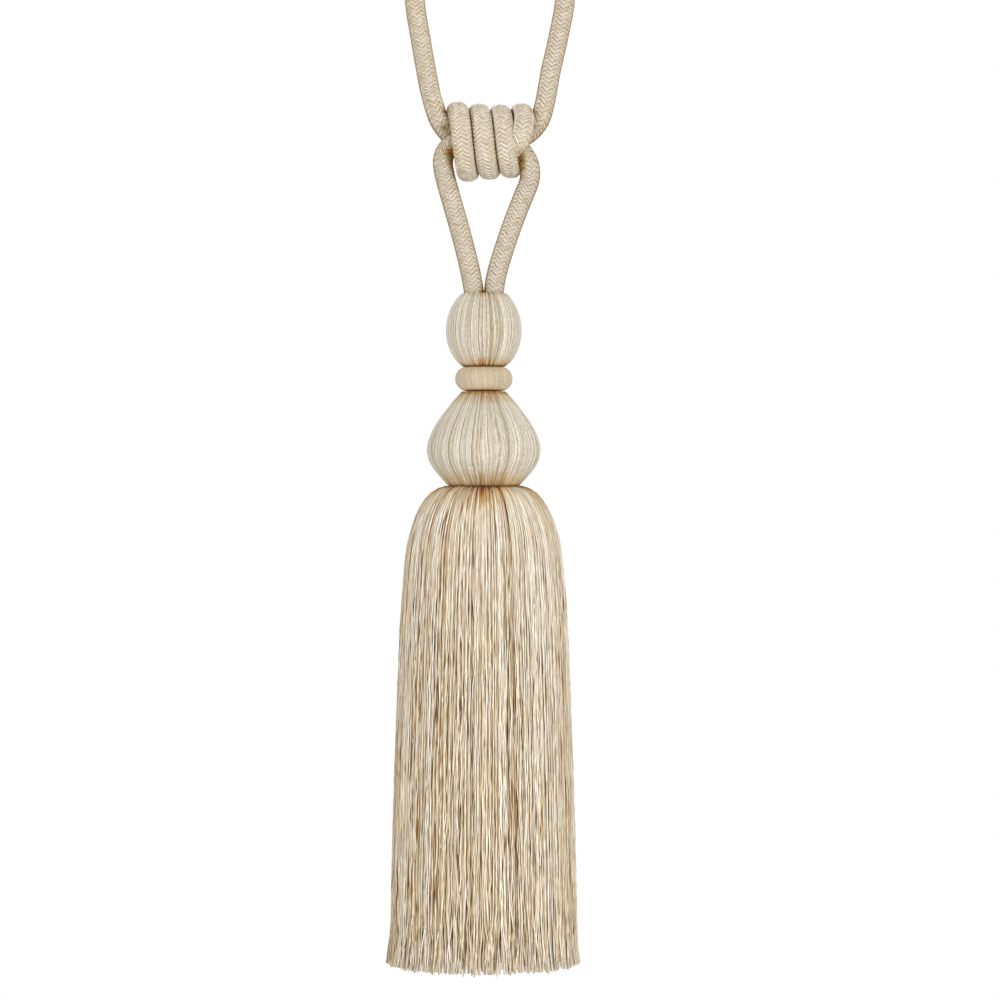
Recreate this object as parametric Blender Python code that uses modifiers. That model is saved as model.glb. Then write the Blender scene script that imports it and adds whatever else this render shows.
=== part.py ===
# Curtain tieback tassel: a braided cord loop and a hanging loop, seized by a wound knot, over a
# moulded head of ball, ring and pear, with a skirt of yarn locks.
# Metres, +Z up, front towards -Y. The origin is the inner top of the cord loop, where it hangs.
import math
import random

import bmesh
import bpy
from mathutils import Vector
from mathutils.geometry import interpolate_bezier

MM = 0.001
GAP = 0.3 * MM

CORD_D = 9.6 * MM
CORD_STEP = 6.5 * MM
CORD_SIDES_RES = 3

# The knot is three and a half turns of cord round the other two, wound along X.
KNOT_Z = -111.0 * MM
KNOT_R = 15.05 * MM
KNOT_PITCH = 10.65 * MM
KNOT_FIRST_TOP_X = -16.4 * MM
KNOT_START_TURN = -0.23
KNOT_END_TURN = 3.255
KNOT_STEPS_PER_TURN = 16

# The head hangs on its own axis, a little left of the knot's middle.
AXIS_X = -3.1 * MM
TURNED_STEPS = 40

BALL_Z = -205.5 * MM
BALL_R = 18.75 * MM
BALL_UP = 24.0 * MM
BALL_DOWN = 21.5 * MM
BALL_TOP = 19.25 * MM
BALL_BASE = -17.75 * MM
RECESS_R = 10.2 * MM
RECESS_DEPTH = 6.0 * MM
BALL_ROWS = 12

RING_HEIGHT = 12.0 * MM
RING_R = 14.25 * MM
RING_NECK_R = 11.0 * MM
RING_ROWS = 8

PEAR_HEIGHT = 47.5 * MM
PEAR_STEP = 4.6 * MM
ROOT_R = 18.6 * MM
ROOT_THICK = 3.0 * MM

# Centreline of the cord that loops over the holdback, from its hidden end in the knot, in mm.
EMBRACE_ROUTE = [
    (-0.6, 3.8, -114.2), (-5.4, 4.2, -113.8), (-10.4, 4.8, -112.0), (-15.8, 5.0, -109.6),
    (-20.8, 2.4, -106.2), (-25.2, -2.2, -100.6), (-27.8, -3.2, -93.6), (-29.8, -1.0, -86.4),
    (-32.0, -0.3, -75.0), (-34.6, 0.0, -60.0), (-37.6, 0.0, -40.0), (-37.0, 0.0, -22.0),
    (-27.8, 0.0, -5.2), (-10.5, 0.0, 3.7), (10.5, 0.0, 3.7), (27.8, 0.0, -5.2),
    (37.0, 0.0, -22.0), (37.5, 0.0, -40.0), (33.9, 0.0, -60.0), (30.5, 0.0, -75.0),
    (28.4, 0.0, -86.6), (27.0, -0.2, -93.4), (24.8, 0.6, -100.0), (20.6, 3.2, -105.2),
    (15.4, 4.2, -108.6), (10.4, 5.0, -112.0), (5.6, 4.4, -113.6), (0.6, 3.5, -114.4),
]

# Centreline of the hanging loop, from the recess in the ball up through the knot and back, in mm.
TASSEL_ROUTE = [
    (-8.1, 0.0, -191.9), (-8.1, 0.0, -186.0), (-10.0, 0.0, -175.0), (-14.2, 0.0, -158.0),
    (-19.0, 0.0, -141.0), (-22.4, -1.4, -128.6), (-23.4, -4.0, -120.4), (-20.6, -5.2, -114.4),
    (-15.2, -5.0, -111.0), (-9.0, -4.6, -109.0), (-0.2, -3.4, -107.2), (7.4, -4.4, -109.2),
    (12.0, -5.2, -112.4), (16.2, -4.8, -116.8), (19.4, -4.0, -122.6), (19.8, -1.4, -130.0),
    (16.6, 0.0, -138.5), (10.6, 0.0, -154.0), (4.0, 0.0, -174.5), (1.9, 0.0, -186.0),
    (1.9, 0.0, -191.9),
]

# The pear's outline, as drop below its top and radius, in mm.
PEAR_OUTLINE = [
    (0.0, 11.2), (5.5, 15.7), (11.5, 20.4), (17.5, 24.4), (23.5, 27.1), (29.0, 28.2),
    (34.5, 27.2), (39.5, 23.9), (43.5, 20.0), (47.5, 18.6),
]

# Rings of skirt locks. Each path is drop below the skirt's top and radius, in mm.
SKIRT_RINGS = {
    "outer": {"locks": 72, "thick": 3.0, "fill": 0.80, "path": [
        (1.6, 17.0), (2.0, 21.5), (4.6, 26.0), (9.5, 29.4), (20.0, 33.9), (40.0, 37.6),
        (80.0, 40.7), (150.0, 43.4), (238.0, 46.3)]},
    "middle": {"locks": 54, "thick": 3.2, "fill": 0.72, "path": [
        (1.8, 12.0), (8.0, 16.5), (16.0, 22.0), (34.0, 29.6), (70.0, 34.8), (150.0, 38.4),
        (236.0, 40.8)]},
    "inner": {"locks": 36, "thick": 3.4, "fill": 0.66, "path": [
        (1.8, 7.0), (10.0, 10.5), (26.0, 17.5), (60.0, 26.0), (130.0, 31.5), (234.0, 35.0)]},
}
LOCK_SWAY = 0.07
LOCK_UNEVEN = 1.6 * MM
ROOT_THIN = 0.55

COLOURS = {
    "braid": (0.640, 0.546, 0.408, 1.0),
    "ring_thread": (0.560, 0.440, 0.300, 1.0),
    "head_yarn": (0.600, 0.500, 0.360, 1.0),
    "skirt_yarn": (0.610, 0.510, 0.370, 1.0),
}


def clear_scene():
    for item in list(bpy.data.objects):
        bpy.data.objects.remove(item, do_unlink=True)


def new_collection(name):
    collection = bpy.data.collections.new(name)
    bpy.context.scene.collection.children.link(collection)
    return collection


def material(name):
    made = bpy.data.materials.get(name)
    if made:
        return made
    made = bpy.data.materials.new(name)
    made.use_nodes = True
    shader = made.node_tree.nodes["Principled BSDF"]
    shader.inputs["Base Color"].default_value = COLOURS[name]
    shader.inputs["Roughness"].default_value = 0.8
    shader.inputs["Metallic"].default_value = 0.0
    return made


def add_mesh_object(name, mesh, collection, material_name):
    made = bpy.data.objects.new(name, mesh)
    mesh.materials.clear()
    mesh.materials.append(material(material_name))
    collection.objects.link(made)
    return made


# A Catmull-Rom curve through the points, as one Bezier piece between each two, in even steps.
def smooth_route(points, step):
    knots = [Vector(point) * MM for point in points]
    knots = [2 * knots[0] - knots[1]] + knots + [2 * knots[-1] - knots[-2]]
    fine = []
    for before, start, end, after in zip(knots, knots[1:], knots[2:], knots[3:]):
        lead_out = start + (end - before) / 6
        lead_in = end - (after - start) / 6
        fine += interpolate_bezier(start, lead_out, lead_in, end, 25)[:-1]
    fine.append(knots[-2])
    return even_steps(fine, step)


def even_steps(fine, step):
    lengths = [0.0]
    for a, b in zip(fine, fine[1:]):
        lengths.append(lengths[-1] + (b - a).length)
    count = max(2, round(lengths[-1] / step))
    out = []
    i = 0
    for k in range(count + 1):
        want = lengths[-1] * k / count
        while i < len(fine) - 2 and lengths[i + 1] < want:
            i += 1
        span = lengths[i + 1] - lengths[i]
        out.append(fine[i].lerp(fine[i + 1], (want - lengths[i]) / span))
    return out


def tube(name, points, collection):
    curve = bpy.data.curves.new(name, "CURVE")
    curve.dimensions = "3D"
    curve.bevel_depth = CORD_D / 2
    curve.bevel_resolution = CORD_SIDES_RES
    curve.use_fill_caps = True
    spline = curve.splines.new("POLY")
    spline.points.add(len(points) - 1)
    for slot, point in zip(spline.points, points):
        slot.co = (*point, 1.0)
    made = bpy.data.objects.new(name, curve)
    curve.materials.append(material("braid"))
    collection.objects.link(made)
    return made


def knot_points():
    count = round((KNOT_END_TURN - KNOT_START_TURN) * KNOT_STEPS_PER_TURN)
    points = []
    for i in range(count + 1):
        turn = KNOT_START_TURN + (KNOT_END_TURN - KNOT_START_TURN) * i / count
        angle = 2 * math.pi * turn
        points.append(Vector((
            KNOT_FIRST_TOP_X + KNOT_PITCH * turn,
            -KNOT_R * math.sin(angle),
            KNOT_Z + KNOT_R * math.cos(angle),
        )))
    return points


# A profile of (radius, height) from the axis at the top, down the outer side, to the axis below.
def turned(name, profile, steps, top_z, collection, material_name):
    mesh = bpy.data.meshes.new(name)
    points = [(radius, 0.0, height) for radius, height in profile]
    edges = [(i, i + 1) for i in range(len(points) - 1)]
    mesh.from_pydata(points, edges, [])
    made = add_mesh_object(name, mesh, collection, material_name)
    made.location = (AXIS_X, 0.0, top_z)
    screw = made.modifiers.new("turn", "SCREW")
    screw.axis = "Z"
    screw.steps = steps
    screw.render_steps = steps
    screw.use_merge_vertices = True
    screw.merge_threshold = 0.00001
    screw.use_smooth_shade = True
    return made


def ball(collection):
    profile = [(0.0, BALL_TOP - RECESS_DEPTH), (RECESS_R, BALL_TOP - RECESS_DEPTH), (RECESS_R, BALL_TOP)]
    top_angle = math.asin(BALL_TOP / BALL_UP)
    base_angle = math.asin(BALL_BASE / BALL_DOWN)
    for i in range(BALL_ROWS + 1):
        angle = top_angle + (base_angle - top_angle) * i / BALL_ROWS
        reach = BALL_UP if angle > 0 else BALL_DOWN
        profile.append((BALL_R * math.cos(angle), reach * math.sin(angle)))
    profile.append((0.0, BALL_BASE))
    return turned("head_ball", profile, TURNED_STEPS, BALL_Z, collection, "head_yarn")


def ring(collection, top_z):
    profile = [(0.0, 0.0)]
    for i in range(RING_ROWS + 1):
        angle = math.pi / 2 - math.pi * i / RING_ROWS
        height = -RING_HEIGHT / 2 * (1 - math.sin(angle))
        profile.append((RING_NECK_R + (RING_R - RING_NECK_R) * math.cos(angle), height))
    profile.append((0.0, -RING_HEIGHT))
    return turned("wrapped_ring", profile, TURNED_STEPS, top_z, collection, "ring_thread")


def pear(collection, top_z):
    line = smooth_route([(drop, radius, 0.0) for drop, radius in PEAR_OUTLINE], PEAR_STEP)
    profile = [(0.0, 0.0)] + [(point.y, -point.x) for point in line] + [(0.0, -PEAR_HEIGHT)]
    return turned("pear_mould", profile, TURNED_STEPS, top_z, collection, "head_yarn")


# One lock is a four-sided strand down its path, as wide as its share of the ring lets it be.
def add_lock(shape, ring_row, index, chance):
    sway = [chance.uniform(-1.0, 1.0) for _ in range(2)]
    longer = chance.uniform(-1.0, 1.0) * LOCK_UNEVEN
    path = [Vector((radius, -drop)) * MM for drop, radius in ring_row["path"]]
    path[-1].y -= longer
    pitch = 2 * math.pi / ring_row["locks"]
    half_thick = ring_row["thick"] * MM / 2
    rows = []
    for i, point in enumerate(path):
        ahead = path[min(i + 1, len(path) - 1)] - path[max(i - 1, 0)]
        along = ahead.normalized()
        out = Vector((-along.y, along.x))
        share = i / (len(path) - 1)
        wave = sway[0] * math.sin(math.pi * share) + sway[1] * math.sin(2 * math.pi * share)
        angle = pitch * (index + LOCK_SWAY * wave)
        around = Vector((-math.sin(angle), math.cos(angle), 0.0))
        corners = []
        for side, face in ((-1, 1), (1, 1), (1, -1), (-1, -1)):
            place = point + out * face * half_thick * min(1.0, ROOT_THIN + share * 3)
            half_wide = ring_row["fill"] * place.x * math.tan(pitch / 2)
            centre = Vector((place.x * math.cos(angle), place.x * math.sin(angle), place.y))
            corners.append(shape.verts.new(centre + around * side * half_wide))
        rows.append(corners)
    for above, below in zip(rows, rows[1:]):
        for k in range(4):
            shape.faces.new((above[k], below[k], below[(k + 1) % 4], above[(k + 1) % 4]))
    shape.faces.new(rows[0])
    shape.faces.new(list(reversed(rows[-1])))


def skirt(collection, cutters, top_z):
    chance = random.Random(11)
    shape = bmesh.new()
    for ring_row in SKIRT_RINGS.values():
        for index in range(ring_row["locks"]):
            add_lock(shape, ring_row, index, chance)
    bmesh.ops.recalc_face_normals(shape, faces=shape.faces)
    mesh = bpy.data.meshes.new("skirt_locks")
    shape.to_mesh(mesh)
    shape.free()
    locks = add_mesh_object("skirt_locks", mesh, cutters, "skirt_yarn")
    locks.location = (AXIS_X, 0.0, top_z)
    locks.hide_render = True
    locks.display_type = "WIRE"
    bpy.ops.mesh.primitive_cylinder_add(
        vertices=72, radius=ROOT_R, depth=ROOT_THICK, location=(AXIS_X, 0.0, top_z - ROOT_THICK / 2))
    made = bpy.context.object
    made.name = "skirt"
    made.data.name = "skirt"
    made.data.materials.append(material("skirt_yarn"))
    for owner in list(made.users_collection):
        owner.objects.unlink(made)
    collection.objects.link(made)
    join = made.modifiers.new("roots", "BOOLEAN")
    join.operation = "UNION"
    join.solver = "EXACT"
    join.object = locks
    return made


def build():
    clear_scene()
    parts = new_collection("curtain_tieback_tassel")
    cutters = new_collection("cutters")
    tube("embrace_cord", smooth_route(EMBRACE_ROUTE, CORD_STEP), parts)
    tube("tassel_cord", smooth_route(TASSEL_ROUTE, CORD_STEP), parts)
    tube("knot_wrap", knot_points(), parts)
    ball(parts)
    ring_top = BALL_Z + BALL_BASE - GAP
    ring(parts, ring_top)
    pear_top = ring_top - RING_HEIGHT - GAP
    pear(parts, pear_top)
    skirt(parts, cutters, pear_top - PEAR_HEIGHT - GAP)


build()
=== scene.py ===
# Curtain tieback tassel: braided cords, wound knot, yarn covered head and yarn skirt
import math

import bmesh
import bpy
import numpy as np
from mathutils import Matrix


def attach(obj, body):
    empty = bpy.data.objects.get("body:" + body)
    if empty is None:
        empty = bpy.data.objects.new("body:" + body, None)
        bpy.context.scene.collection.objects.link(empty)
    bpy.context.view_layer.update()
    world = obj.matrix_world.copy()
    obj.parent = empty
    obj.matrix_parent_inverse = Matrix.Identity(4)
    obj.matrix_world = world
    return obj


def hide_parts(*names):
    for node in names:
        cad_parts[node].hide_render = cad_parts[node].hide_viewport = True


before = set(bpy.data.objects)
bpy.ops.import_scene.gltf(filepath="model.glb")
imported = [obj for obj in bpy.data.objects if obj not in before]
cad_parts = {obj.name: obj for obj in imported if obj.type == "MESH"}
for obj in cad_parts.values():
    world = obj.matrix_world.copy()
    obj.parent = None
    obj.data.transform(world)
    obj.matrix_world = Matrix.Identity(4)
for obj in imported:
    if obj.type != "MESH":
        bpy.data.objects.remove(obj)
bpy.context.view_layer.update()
mm = 0.001
rng = np.random.default_rng(41)


# small tools for shaders

class Sock:  # a node socket that can be used in sums
    def __init__(self, owner, link):
        self.owner = owner
        self.link = link

    def __add__(self, other):
        return self.owner.node("ShaderNodeMath", {"operation": "ADD"}, {0: self, 1: other})

    def __mul__(self, other):
        return self.owner.node("ShaderNodeMath", {"operation": "MULTIPLY"}, {0: self, 1: other})

    __radd__ = __add__
    __rmul__ = __mul__


class Nodes:  # the nodes of a material or of the world
    def __init__(self, tree):
        self.tree = tree

    def node(self, kind, settings, sockets, output=0):
        made = self.tree.nodes.new(kind)
        for key, value in settings.items():
            setattr(made, key, value)
        for key, value in sockets.items():
            self.put(made.inputs[key], value)
        return Sock(self, made.outputs[output])

    def put(self, slot, value):
        if isinstance(value, Sock):
            self.tree.links.new(value.link, slot)
        else:
            slot.default_value = value

    def noise(self, place, scale):
        sockets = {"Vector": place, "Scale": scale, "Detail": 2.0}
        return self.node("ShaderNodeTexNoise", {}, sockets, "Fac")

    def mix(self, factor, low, high, blendType="MIX"):
        settings = {"data_type": "RGBA", "blend_type": blendType}
        return self.node("ShaderNodeMix", settings, {0: factor, 6: low, 7: high}, 2)

    def spread(self, value, low, high):  # 0 at low, 1 at high, and no less or more past them
        sockets = {"Value": value, "From Min": low, "From Max": high}
        return self.node("ShaderNodeMapRange", {}, sockets, "Result")


class Paint(Nodes):  # one material and its nodes
    def __init__(self, name):
        self.material = bpy.data.materials.new(name)
        self.material.use_nodes = True
        super().__init__(self.material.node_tree)
        self.shader = self.tree.nodes["Principled BSDF"]

    def set(self, **values):
        for key, value in values.items():
            self.put(self.shader.inputs[key.replace("_", " ")], value)


# small tools for meshes

# Faces of strands laid out as [strand, ring, corner]: four-sided faces between one ring and the next, and a
# flat end at each tip.
def strandFaces(strands, rings, corners):
    index = np.arange(strands * rings * corners).reshape(strands, rings, corners)
    here, down = index[:, :-1], index[:, 1:]
    quads = np.stack([here, down, np.roll(down, -1, 2), np.roll(here, -1, 2)], -1).reshape(-1, 4)
    ends = np.concatenate([index[:, 0], index[:, -1, ::-1]])
    return quads, ends


# A mesh from whole arrays: points, four-sided faces and end faces of one size, with the points' colours and
# a map of how far along and across the yarn each point is.
def fillMesh(name, points, quads, ends=None, colour=None, along=None):
    mesh = bpy.data.meshes.new(name)
    points = points.reshape(-1, 3)
    loops = quads.reshape(-1)
    sizes = np.full(len(quads), 4)
    if ends is not None:
        loops = np.concatenate([loops, ends.reshape(-1)])
        sizes = np.concatenate([sizes, np.full(len(ends), ends.shape[1])])
    mesh.vertices.add(len(points))
    mesh.vertices.foreach_set("co", points.astype(np.float32).ravel())
    mesh.loops.add(len(loops))
    mesh.loops.foreach_set("vertex_index", loops.astype(np.int32))
    mesh.polygons.add(len(sizes))
    mesh.polygons.foreach_set("loop_start", np.concatenate([[0], np.cumsum(sizes)[:-1]]).astype(np.int32))
    mesh.polygons.foreach_set("use_smooth", np.ones(len(sizes), bool))
    mesh.update(calc_edges=True)
    if colour is not None:
        layer = mesh.color_attributes.new("tone", "FLOAT_COLOR", "POINT")
        rgba = np.concatenate([colour.reshape(-1, 3), np.ones((len(points), 1))], 1)
        layer.data.foreach_set("color", rgba.astype(np.float32).ravel())
    if along is not None:
        layer = mesh.uv_layers.new(name="along")
        layer.data.foreach_set("uv", along.reshape(-1, 2)[loops].astype(np.float32).ravel())
    mesh.validate()
    return mesh


# One piece on the body: its object, its material's slot and the solids that it stands for.
def addPiece(name, mesh, material, nodes):
    made = bpy.data.objects.new(name, mesh)
    bpy.context.scene.collection.objects.link(made)
    mesh.materials.append(material)
    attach(made, "root")
    if nodes:
        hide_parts(*nodes)
    return made


# Faces of a turned grid [row, column]: four-sided faces all the way round, with both ends left open.
def latheFaces(rows, columns):
    index = np.arange(rows * columns).reshape(rows, columns)
    here, down = index[:-1], index[1:]
    return np.stack([here, down, np.roll(down, -1, 1), np.roll(here, -1, 1)], -1).reshape(-1, 4)


# Fills a mesh's open ends with a face each and turns all faces outwards.
def closeEnds(mesh):
    shape = bmesh.new()
    shape.from_mesh(mesh)
    bmesh.ops.holes_fill(shape, edges=[edge for edge in shape.edges if edge.is_boundary], sides=0)
    bmesh.ops.recalc_face_normals(shape, faces=shape.faces)
    shape.to_mesh(mesh)
    shape.free()
    return mesh


# One smooth line through a list of points: a Catmull-Rom cubic between each two, read at even steps.
def smoothRoute(points, step):
    knots = np.array(points, float)
    knots = np.vstack([2 * knots[0] - knots[1], knots, 2 * knots[-1] - knots[-2]])
    p0, p1, p2, p3 = (knots[i:len(knots) - 3 + i, None] for i in range(4))
    t = np.linspace(0, 1, 24, endpoint=False)[None, :, None]
    square = 2 * p0 - 5 * p1 + 4 * p2 - p3
    cube = 3 * p1 - p0 - 3 * p2 + p3
    fine = 2 * p1 + (p2 - p0) * t + square * t**2 + cube * t**3
    fine = np.vstack([fine.reshape(-1, knots.shape[1]) / 2, knots[-2:-1]])
    return evenSteps(fine, step)


# How far along a line each of its points is.
def lengthsAlong(line):
    return np.concatenate([[0], np.cumsum(np.linalg.norm(np.diff(line, axis=0), axis=1))])


# The line again, read at even steps near the given one.
def evenSteps(line, step):
    run = lengthsAlong(line)
    want = np.linspace(0, run[-1], max(2, round(run[-1] / step)) + 1)
    return np.stack([np.interp(want, run, line[:, k]) for k in range(line.shape[1])], 1)


# Vectors over their lengths.
def unit(vectors):
    return vectors / np.linalg.norm(vectors, axis=-1, keepdims=True)


# 0 up to low and 1 from high on, with three times the square less twice the cube of the way between.
def smoothStep(value, low, high):
    t = np.clip((value - low) / (high - low), 0, 1)
    return t * t * (3 - 2 * t)


# Slow random change along a line for each of count strands: a sine of random height and phase for each of
# the waves, which are lengths, added up and divided by the root of their number.
def slowNoise(count, along, waves):
    phase = rng.uniform(0, 2 * math.pi, (len(waves), count, 1))
    height = rng.normal(0, 1, (len(waves), count, 1))
    total = sum(height[k] * np.sin(2 * math.pi * along / wave + phase[k]) for k, wave in enumerate(waves))
    return total / math.sqrt(len(waves))


# camera at the photo's angle, level, with the view's middle half way down the frame

photoView = {
    "pixel": 0.5 * mm,  # size of one photo pixel at the tassel
    "pixels": 1000,
    "middleX": 5.0 * mm,
    "topZ": -40.0 * mm,  # height of the photo's top edge
    "distance": 1.44,
    "sensor": 36.0,
    "clip": 0.05,
}


# The lens is the sensor's width times the distance, over the width of the view.
def makeCamera(view):
    data = bpy.data.cameras.new("camera")
    data.sensor_width = view["sensor"]
    width = view["pixel"] * view["pixels"]
    data.lens = view["sensor"] * view["distance"] / width
    data.clip_start = view["clip"]
    camera = bpy.data.objects.new("camera", data)
    bpy.context.scene.collection.objects.link(camera)
    camera.location = (view["middleX"], -view["distance"], view["topZ"] - width / 2)
    camera.rotation_euler = (math.radians(90), 0, 0)
    bpy.context.scene.camera = camera


makeCamera(photoView)
print("camera placed")


# colours of the yarn

yarn = {
    "braid": [(0.580, 0.515, 0.405), (0.680, 0.635, 0.530), (0.785, 0.755, 0.670), (0.890, 0.875, 0.810)],
    "head": [(0.465, 0.360, 0.215), (0.575, 0.505, 0.385), (0.670, 0.640, 0.555), (0.790, 0.775, 0.720)],
    "ring": [(0.500, 0.390, 0.235), (0.590, 0.505, 0.370), (0.675, 0.610, 0.490), (0.750, 0.700, 0.600)],
    "skirt": [(0.535, 0.410, 0.255), (0.665, 0.570, 0.425), (0.785, 0.735, 0.625), (0.900, 0.872, 0.800)],
}
# painted shade in the grooves between yarns, for each family
grooveShadeTint = {"braid": (0.71, 0.61, 0.47), "head": (0.60, 0.50, 0.37), "skirt": (0.57, 0.45, 0.30)}
# painted brown shade: at necks, in seams, along a cord's sides, where cords press and where parts meet
brownShadeTint = (0.56, 0.38, 0.19)  # deep between yarns that are drawn together at a neck
# golden colour near the ends of yarns, in part painted shade, and painted shade at the rims
goldAndShadeTint = (0.74, 0.50, 0.25)  # on the yarns themselves there
# painted shade: the dark brown of the insides of cords and skirt, seen through the gaps
coreShadeBrown = (0.20, 0.105, 0.042)


# Picks between a family's colours: value 0 is tan, then beige and cream, and 1 is ivory.
def yarnColour(family, value):
    shades = np.array(yarn[family])
    return np.stack([np.interp(value, [0.0, 0.35, 0.7, 1.0], shades[:, k]) for k in range(3)], -1)


# Darkens a colour: it is multiplied by the tint to the power of the amount.
def shaded(colour, amount, tint):
    return colour * np.array(tint) ** amount[..., None]


# Tones in runs: one or a few light yarns, then one or two darker ones, and so on round. The runs' mean
# lengths are given, with how far single yarns stray from their run's tone.
def groupedTones(count, lightRun, darkRun, single=0.10):
    tones = []
    kinds = ((lightRun, 0.68, 1.0, 5), (darkRun, 0.05, 0.55, 2))  # mean length, tones from and to, most
    while len(tones) < count:
        for mean, low, high, most in kinds:
            tones += [rng.uniform(low, high)] * min(most, 1 + rng.poisson(mean - 1))
    return np.clip(np.array(tones[:count]) + rng.normal(0, single, count), 0, 1)


# the grain of each yarn: scales of its long flecks and of its fibres, each along it and across it, then how
# strong the flecks, the fibres and the bump are
yarnGrain = {
    "braid yarn": ((300, 700, 1), (1500, 3500, 1), 0.4, 0.16, 0.4),
    "head yarn": ((110, 2600, 1), (600, 3500, 1), 0.5, 0.24, 0.5),
    "ring thread": ((400, 2500, 1), (1500, 3000, 1), 0.4, 0.16, 0.4),
    "skirt yarn": ((45, 2200, 1), (170, 2800, 1), 0.8, 0.36, 0.6),
}
fleckTint = (0.78, 0.67, 0.51, 1)
yarnFinish = {  # all yarns are matt, and warm where light grazes them
    "Sheen Weight": 0.1,
    "Sheen Roughness": 0.5,
    "Sheen Tint": (1.0, 0.85, 0.62, 1),
    "Specular IOR Level": 0.12,
    "Specular Tint": (1.0, 0.72, 0.45, 1),
}
bumpDepth = 0.1 * mm


# Soft twisted yarn: its own tone, with long flecks and short fibres that run with it.
def makeYarnPaint(name):
    fleckScale, fibreScale, flecks, contrast, bump = yarnGrain[name]
    paint = Paint(name)
    tone = paint.node("ShaderNodeAttribute", {"attribute_name": "tone"}, {}, "Color")
    along = paint.node("ShaderNodeUVMap", {"uv_map": "along"}, {}, "UV")

    def stretched(scale):
        return paint.node("ShaderNodeVectorMath", {"operation": "MULTIPLY"}, {0: along, 1: scale})

    fleck = paint.noise(stretched(fleckScale), 1.0)
    fibre = paint.noise(stretched(fibreScale), 1.0)
    lit = paint.spread(fibre, 0.3, 0.7)
    shade = 1 - contrast + 2 * contrast * lit
    grey = paint.node("ShaderNodeCombineXYZ", {}, {0: shade, 1: shade, 2: shade})
    flecked = paint.mix(flecks * paint.spread(fleck, 0.46, 0.66), (1, 1, 1, 1), fleckTint)
    coloured = paint.mix(1.0, tone, flecked, "MULTIPLY")
    relief = paint.node("ShaderNodeBump", {}, {"Strength": bump, "Distance": bumpDepth, "Height": fibre})
    paint.set(Base_Color=paint.mix(1.0, coloured, grey, "MULTIPLY"), Normal=relief,
              Roughness=0.75 + 0.17 * lit)
    for socket, value in yarnFinish.items():
        paint.put(paint.shader.inputs[socket], value)
    return paint.material


braidPaint, headPaint, threadPaint, skirtPaint = (makeYarnPaint(name) for name in yarnGrain)


# braided cords

cord = {
    "diameter": 10.2 * mm,
    "carriers": 10,  # strands each way round
    "lay": 21.0 * mm,  # length of cord for one turn of a strand
    "width": 1.11,  # of a strand against the room it has; it is two yarns side by side
    "yarnHeight": 0.42 * mm,
    "weave": 0.34 * mm,  # rise and dip of a strand over its neighbours
    "steps": 36,  # rings of a strand in each turn
    "flatten": 1.6,  # how quickly it passes from over to under
    "dipShade": 0.8,
    "coreSides": 16,
    "coreDepth": 2.4,  # of the inside under the surface, in yarn heights
    "drift": 0.20, "driftWaves": [0.005, 0.009, 0.021, 0.05],  # of a yarn's tone, and lengths in metres
}
# A strand's section is a low letter M. These are its five points' places across it, their heights, and how
# strongly each is shaded.
strandSection = np.array([(-0.5, -0.7), (-0.25, 0.95), (0.02, 0.30), (0.26, 0.82), (0.5, -0.7)])
strandShade = np.array([2.6, 0.0, 1.4, 0.1, 3.6])

# How a cord looks: the lay of its strands, how much painted brown shade its two sides get, how far its
# four corners stand out, how much it takes of the painted shade where cords press, how much painted shade
# its seams between wraps get, and how light it is painted: the wraps lighter and the legs a little darker
# than a free cord, as painted light and shade.
looseCord = {"lay": cord["lay"], "sides": 0.9, "corners": 0.0, "pressedShade": 1.0, "seamShade": 0.0, "light": 1.0}
legCord = dict(looseCord, light=0.955)
woundCord = {"lay": 16.8 * mm, "sides": 0.45, "corners": 0.09, "pressedShade": 0.2, "seamShade": 2.3, "light": 1.06}

# the same centrelines as the solids follow, in mm
embraceRoute = [
    (-0.6, 3.8, -114.2), (-5.4, 4.2, -113.8), (-10.4, 4.8, -112.0), (-15.8, 5.0, -109.6),
    (-20.8, 2.4, -106.2), (-25.2, -2.2, -100.6), (-27.8, -3.2, -93.6), (-29.8, -1.0, -86.4),
    (-32.0, -0.3, -75.0), (-34.6, 0.0, -60.0), (-37.6, 0.0, -40.0), (-37.0, 0.0, -22.0),
    (-27.8, 0.0, -5.2), (-10.5, 0.0, 3.7), (10.5, 0.0, 3.7), (27.8, 0.0, -5.2),
    (37.0, 0.0, -22.0), (37.5, 0.0, -40.0), (33.9, 0.0, -60.0), (30.5, 0.0, -75.0),
    (28.4, 0.0, -86.6), (27.0, -0.2, -93.4), (24.8, 0.6, -100.0), (20.6, 3.2, -105.2),
    (15.4, 4.2, -108.6), (10.4, 5.0, -112.0), (5.6, 4.4, -113.6), (0.6, 3.5, -114.4),
]
tasselRoute = [
    (-8.1, 0.0, -191.9), (-8.1, 0.0, -186.0), (-10.0, 0.0, -175.0), (-14.2, 0.0, -158.0),
    (-19.0, 0.0, -141.0), (-22.4, -1.4, -128.6), (-23.4, -4.0, -120.4), (-20.6, -5.2, -114.4),
    (-15.2, -5.0, -111.0), (-9.0, -4.6, -109.0), (-0.2, -3.4, -107.2), (7.4, -4.4, -109.2),
    (12.0, -5.2, -112.4), (16.2, -4.8, -116.8), (19.4, -4.0, -122.6), (19.8, -1.4, -130.0),
    (16.6, 0.0, -138.5), (10.6, 0.0, -154.0), (4.0, 0.0, -174.5), (1.9, 0.0, -186.0),
    (1.9, 0.0, -191.9),
]
knot = {
    "z": -111.0 * mm,
    "pitch": 10.65 * mm,
    "firstTopX": -16.4 * mm,
    "turns": [-0.10, 0.0, 0.5, 1.0, 1.5, 2.0, 2.5, 3.0, 3.10],  # the winding draws in towards the right
    "radii": [14.7, 14.7, 14.5, 13.7, 13.5, 13.3, 12.6, 13.8, 14.1],
    "size": 1.06,
    # painted seam shade shows between these X places
    "firstSeam": (-15.2, -14.0),  # seams show from here along X, in mm
    "lastSeam": (16.0, 14.8),  # up to here
    "topSeam": ((8, 10), (-104, -101), 0.07),  # X and Z from where the last seam is wider, and how much
}
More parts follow.
